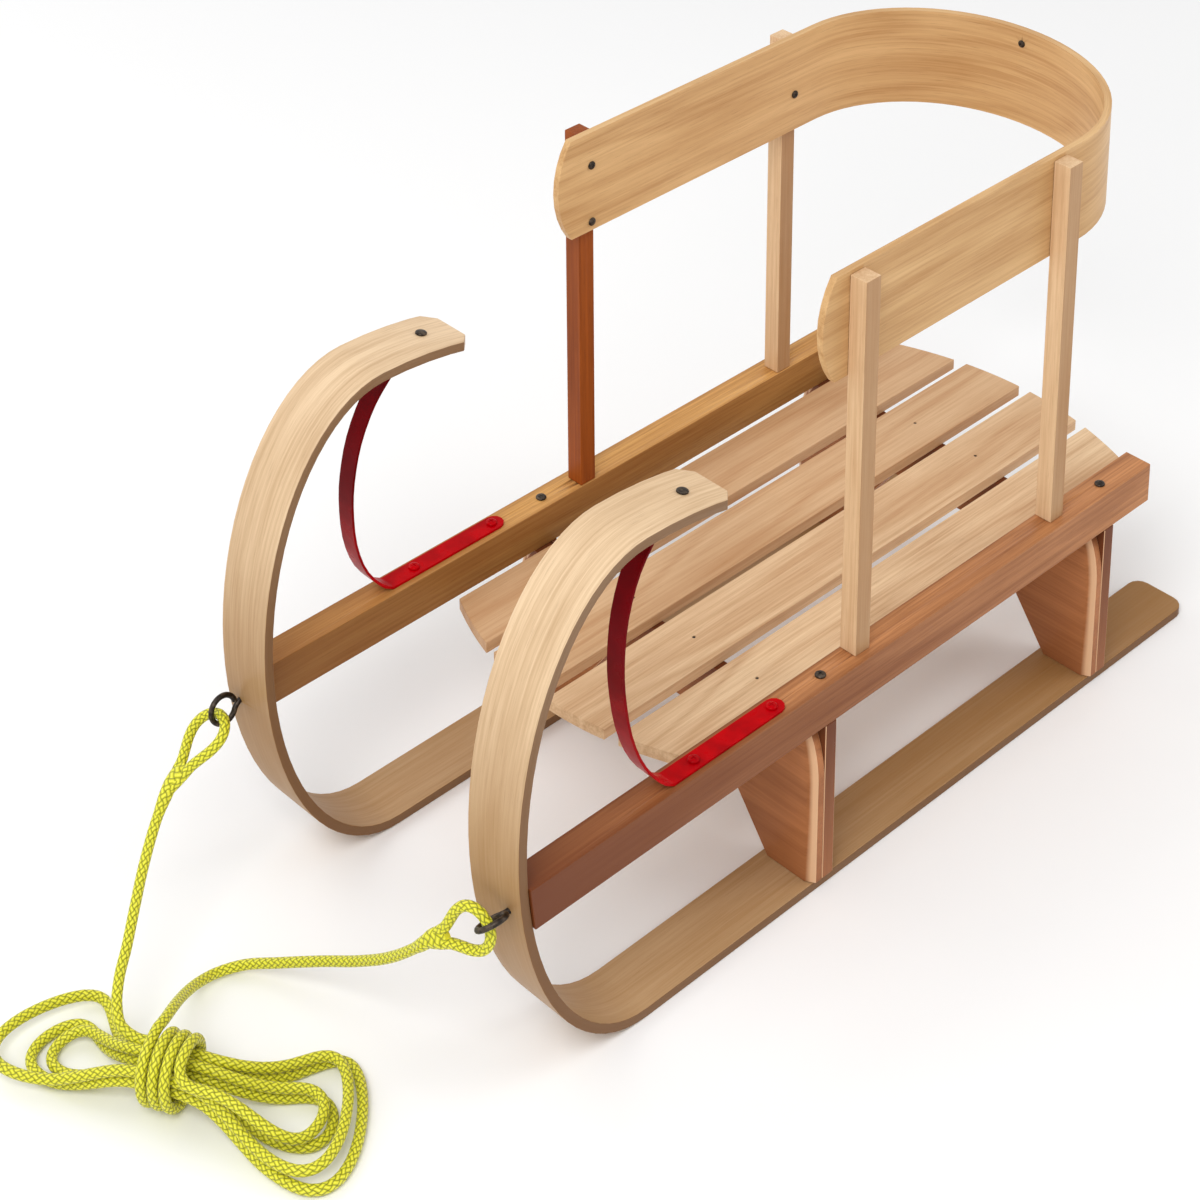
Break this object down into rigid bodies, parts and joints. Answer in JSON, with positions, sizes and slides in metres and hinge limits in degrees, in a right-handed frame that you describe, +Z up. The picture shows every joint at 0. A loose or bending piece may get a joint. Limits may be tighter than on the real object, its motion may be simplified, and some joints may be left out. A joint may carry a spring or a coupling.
{
  "type": "baby pull sled",
  "caption": "Wooden pull sled for a small child with curled runners, a slatted seat on arched bolsters, a bent back band on posts, steel straps and a tied-up pull rope.",
  "frame": {"origin": "on the floor under the middle of the sled, measured without its rope", "axes": "+Z up, the nose and the curls point along -Y, +X is the right side as seen from the front"},
  "size_m": [0.3381, 1.0346, 0.518],
  "materials": {
    "runner_wood": "clear varnish, satin",
    "rail_wood": "clear varnish, satin",
    "bolster_wood": "clear varnish, satin",
    "slat_wood": "clear varnish, satin",
    "post_wood": "clear varnish, satin",
    "band_wood": "clear varnish, satin",
    "red_paint": "gloss paint",
    "dark_steel": "blackened, semi-gloss",
    "yellow_rope": "hollow braided cord"
  },
  "bodies": {
    "root": {"runner_right": "runner_wood", "side_rail_right": "rail_wood", "strap_right": "red_paint", "screw_eye_right": "dark_steel", "tip_rivet_right": "dark_steel", "strap_screw_1_right": "red_paint", "strap_screw_2_right": "red_paint", "leg_block_front_right": "bolster_wood", "post_front_right": "post_wood", "rail_screw_front_right": "dark_steel", "runner_screw_front_right": "dark_steel", "leg_block_rear_right": "bolster_wood", "post_rear_right": "post_wood", "rail_screw_rear_right": "dark_steel", "runner_screw_rear_right": "dark_steel", "band_screw_front_right_1": "dark_steel", "band_screw_front_right_2": "dark_steel", "band_screw_rear_right_1": "dark_steel", "rope_splice_right": "yellow_rope", "rope_stretch_right": "yellow_rope", "runner_left": "runner_wood", "side_rail_left": "rail_wood", "strap_left": "red_paint", "screw_eye_left": "dark_steel", "tip_rivet_left": "dark_steel", "strap_screw_1_left": "red_paint", "strap_screw_2_left": "red_paint", "leg_block_front_left": "bolster_wood", "post_front_left": "post_wood", "rail_screw_front_left": "dark_steel", "runner_screw_front_left": "dark_steel", "leg_block_rear_left": "bolster_wood", "post_rear_left": "post_wood", "rail_screw_rear_left": "dark_steel", "runner_screw_rear_left": "dark_steel", "band_screw_front_left_1": "dark_steel", "band_screw_front_left_2": "dark_steel", "band_screw_rear_left_1": "dark_steel", "rope_splice_left": "yellow_rope", "rope_stretch_left": "yellow_rope", "seat_slat_1": "slat_wood", "slat_nail_front_1": "dark_steel", "slat_nail_rear_1": "dark_steel", "seat_slat_2": "slat_wood", "slat_nail_front_2": "dark_steel", "slat_nail_rear_2": "dark_steel", "seat_slat_3": "slat_wood", "slat_nail_front_3": "dark_steel", "slat_nail_rear_3": "dark_steel", "seat_slat_4": "slat_wood", "slat_nail_front_4": "dark_steel", "slat_nail_rear_4": "dark_steel", "front_bolster": "bolster_wood", "rear_bolster": "bolster_wood", "back_band": "band_wood", "band_screw_rear": "dark_steel", "rope_hank": "yellow_rope", "rope_tie": "yellow_rope"}
  },
  "joints": []
}
